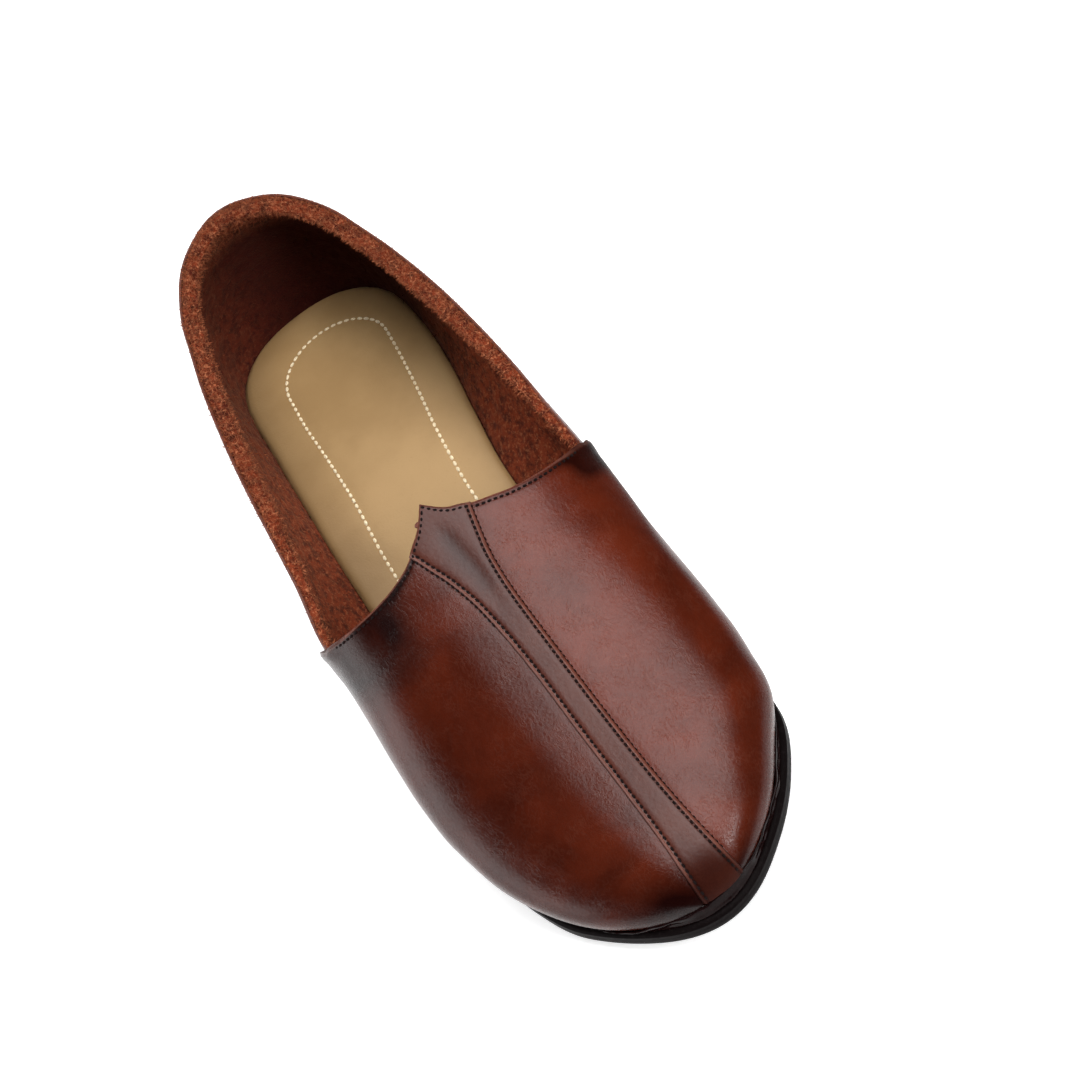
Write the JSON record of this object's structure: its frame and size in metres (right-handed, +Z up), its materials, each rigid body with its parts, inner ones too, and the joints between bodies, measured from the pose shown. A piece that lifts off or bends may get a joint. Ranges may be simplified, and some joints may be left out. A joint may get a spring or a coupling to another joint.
{
  "type": "khussa",
  "caption": "Leather slip-on shoe for the right foot with a curved throat, a stitched centre strip, a padded top line, a flat sock and a low moulded sole.",
  "frame": {"origin": "centre of the bounding box's lower face, on the floor that the shoe stands on", "axes": "+Z up, -Y towards the toe, +X towards the inner side of a right foot"},
  "size_m": [0.1066, 0.2834, 0.0803],
  "materials": {
    "upper": "polished, burnished darker at the edges",
    "center_strip": "polished",
    "insole": "matt tan sock",
    "outsole": "glossy moulded",
    "heel": "satin",
    "rand": "glossy"
  },
  "bodies": {
    "root": {"upper": "upper", "center_strip": "center_strip", "insole": "insole", "outsole": "outsole", "heel": "heel", "rand": "rand"}
  },
  "joints": []
}
